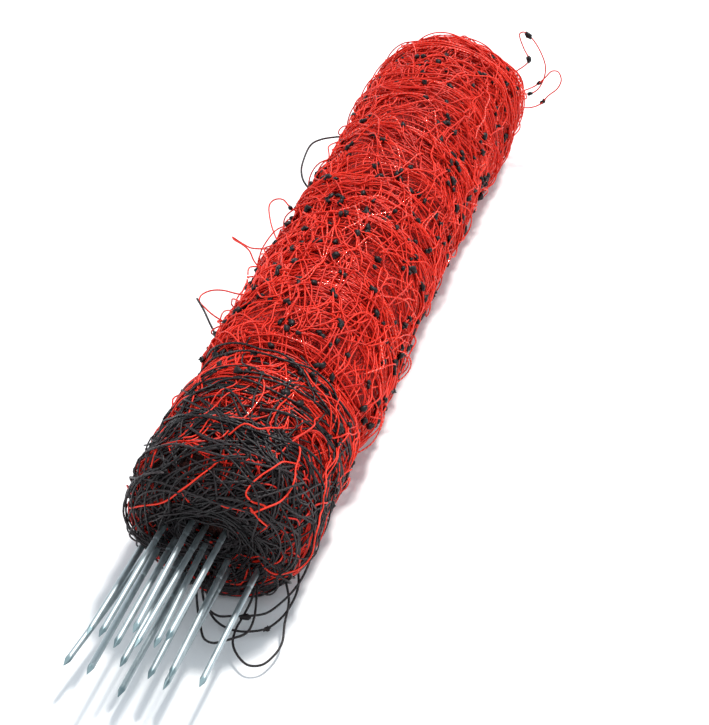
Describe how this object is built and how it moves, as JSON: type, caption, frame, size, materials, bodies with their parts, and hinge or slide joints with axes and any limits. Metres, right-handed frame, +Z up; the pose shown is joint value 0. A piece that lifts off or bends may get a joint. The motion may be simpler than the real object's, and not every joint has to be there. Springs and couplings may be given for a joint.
{
  "type": "electric poultry netting",
  "caption": "Rolled electric poultry netting wound round its bundled plastic posts, lying on its side, with the posts' steel ground spikes standing out of the base line's end.",
  "frame": {"origin": "on the floor, at the middle of the roll's flattened underside", "axes": "+Z up, +Y along the roll from the spikes' end to the top end, +X to the right seen from the spikes' end"},
  "size_m": [0.2796, 1.2498, 0.1997],
  "materials": {
    "polywire": "twisted polyethylene strands with fine steel wires",
    "base_line": "black twisted polyethylene",
    "post_plastic": "smooth black plastic",
    "spike_steel": "bright galvanised"
  },
  "bodies": {
    "root": {"base_line_end": "base_line", "base_line_wraps": "base_line", "base_loop_big": "base_line", "base_loop_crest": "base_line", "base_loop_floor": "base_line", "base_loop_left": "base_line", "base_loop_wide": "base_line", "net_wraps": "polywire", "post_01": "post_plastic", "post_02": "post_plastic", "post_03": "post_plastic", "post_04": "post_plastic", "post_05": "post_plastic", "post_06": "post_plastic", "post_07": "post_plastic", "post_08": "post_plastic", "post_09": "post_plastic", "post_10": "post_plastic", "post_11": "post_plastic", "post_12": "post_plastic", "post_13": "post_plastic", "post_14": "post_plastic", "post_15": "post_plastic", "spike_01": "spike_steel", "spike_02": "spike_steel", "spike_03": "spike_steel", "spike_04": "spike_steel", "spike_05": "spike_steel", "spike_06": "spike_steel", "spike_07": "spike_steel", "spike_08": "spike_steel", "spike_09": "spike_steel", "spike_10": "spike_steel", "spike_11": "spike_steel", "spike_12": "spike_steel", "spike_13": "spike_steel", "spike_14": "spike_steel", "spike_15": "spike_steel", "wire_loop_corner": "polywire", "wire_loop_crown": "polywire", "wire_loop_front": "polywire", "wire_loop_middle": "polywire", "wire_loop_rear": "polywire"}
  },
  "joints": []
}
